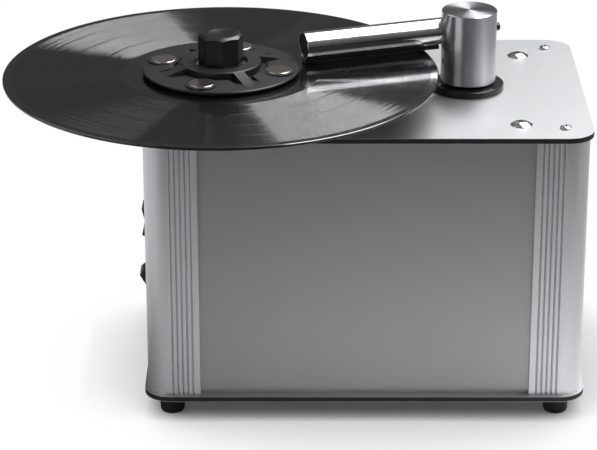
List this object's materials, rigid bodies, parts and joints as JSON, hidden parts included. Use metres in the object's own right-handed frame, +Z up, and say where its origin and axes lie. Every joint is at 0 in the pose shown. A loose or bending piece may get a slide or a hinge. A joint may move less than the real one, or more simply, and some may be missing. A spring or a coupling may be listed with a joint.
{
  "type": "record cleaning machine",
  "caption": "Boxy vacuum record cleaner with finned corner posts, a platter and clamped record on its front left corner, and a swinging, lifting suction arm.",
  "frame": {"origin": "middle of the housing footprint, on the surface that the feet stand on", "axes": "+X to the right seen from the front, +Y to the rear, +Z up"},
  "size_m": [0.4114, 0.3246, 0.275],
  "materials": {
    "bearing_bronze": "sintered bearing bronze",
    "black_anodised": "black anodised aluminium",
    "black_plastic": "moulded plastic",
    "black_rubber": "moulded rubber",
    "board": "circuit board with components",
    "bright_screws": "bright plated",
    "clamp_plastic": "satin moulded plastic",
    "clear_tube": "translucent flexible tube",
    "contact_metal": "plated contact",
    "fan_plastic": "moulded plastic",
    "felt": "black felt",
    "machine_steel": "plated steel",
    "nickel": "nickel plated magnet",
    "plate_core": "black polyethylene core",
    "plate_skin": "brushed sheet skin",
    "polished_steel": "polished stainless steel",
    "satin_aluminium": "satin anodised extrusion and sheet",
    "standoff_brass": "turned",
    "tank_plastic": "natural moulded plastic",
    "turned_aluminium": "turned",
    "vinyl": "pressed vinyl with fine grooves"
  },
  "bodies": {
    "housing": {"arm_base_ring": "black_anodised", "arm_socket": "turned_aluminium", "board_standoffs": "standoff_brass", "bottom_plate_core": "plate_core", "bottom_plate_skins": "plate_skin", "corner_post_front_left": "satin_aluminium", "corner_post_front_right": "satin_aluminium", "corner_post_rear_left": "satin_aluminium", "corner_post_rear_right": "satin_aluminium", "direction_switch_body": "black_plastic", "drain_elbow": "black_plastic", "drive_motor": "machine_steel", "fan_case": "fan_plastic", "front_panel": "satin_aluminium", "gearbox": "machine_steel", "hose_clips": "black_plastic", "inlet_pins": "contact_metal", "inlet_screws": "bright_screws", "left_panel": "satin_aluminium", "level_hose": "clear_tube", "mains_inlet": "black_plastic", "motor_bracket": "satin_aluminium", "plate_screws": "bright_screws", "platter_bearing": "bearing_bronze", "power_board": "board", "rear_panel": "satin_aluminium", "right_panel": "satin_aluminium", "ring_screws": "bright_screws", "rubber_feet": "black_rubber", "suction_hose": "black_rubber", "tank_screws": "polished_steel", "top_plate_core": "plate_core", "top_plate_skins": "plate_skin", "vacuum_motor": "machine_steel", "vacuum_ring": "black_rubber", "vacuum_switch_body": "black_plastic", "waste_tank": "tank_plastic"},
    "platter": {"platter": "turned_aluminium", "platter_mat": "black_rubber", "platter_shaft": "polished_steel", "gearbox_shaft": "machine_steel", "shaft_coupling": "turned_aluminium", "record": "vinyl"},
    "clamp": {"clamp_plate": "clamp_plastic", "clamp_seal": "black_rubber", "clamp_magnets": "nickel", "clamp_washer": "polished_steel", "clamp_knob": "clamp_plastic"},
    "arm_swivel": {"swivel_bush": "bearing_bronze"},
    "arm": {"arm_pillar": "polished_steel", "arm_block": "turned_aluminium", "suction_tube": "polished_steel", "tube_cap": "black_anodised", "felt_strips": "felt", "arm_screw": "bright_screws", "pillar_set_screw": "bright_screws", "lift_spring": "machine_steel"},
    "direction_rocker": {"direction_rocker": "black_plastic"},
    "vacuum_rocker": {"vacuum_rocker": "black_plastic"},
    "vacuum_fan": {"vacuum_fan": "fan_plastic"}
  },
  "joints": [
    {"name": "platter_spin", "type": "hinge", "parent": "housing", "child": "platter", "pos_m": [-0.1013, -0.0546, 0.2158], "axis": [0, 0, 1], "continuous": true},
    {"name": "clamp_lift", "type": "slide", "parent": "platter", "child": "clamp", "axis": [0, 0, 1], "range_m": [0, 0.03]},
    {"name": "arm_swing", "type": "hinge", "parent": "housing", "child": "arm_swivel", "pos_m": [0.075, -0.0025, 0.2158], "axis": [0, 0, 1], "range_deg": [-120, 0]},
    {"name": "arm_lift", "type": "slide", "parent": "arm_swivel", "child": "arm", "axis": [0, 0, 1], "range_m": [0, 0.006], "deforming": ["lift_spring"]},
    {"name": "direction_rock", "type": "hinge", "parent": "housing", "child": "direction_rocker", "pos_m": [-0.15195, -0.054, 0.1354], "axis": [0, 1, 0], "range_deg": [-16, 16]},
    {"name": "vacuum_rock", "type": "hinge", "parent": "housing", "child": "vacuum_rocker", "pos_m": [-0.15195, -0.054, 0.0866], "axis": [0, 1, 0], "range_deg": [0, 32]},
    {"name": "vacuum_spin", "type": "hinge", "parent": "housing", "child": "vacuum_fan", "pos_m": [-0.062, 0.034, 0.0795], "axis": [0, 0, 1], "continuous": true}
  ]
}
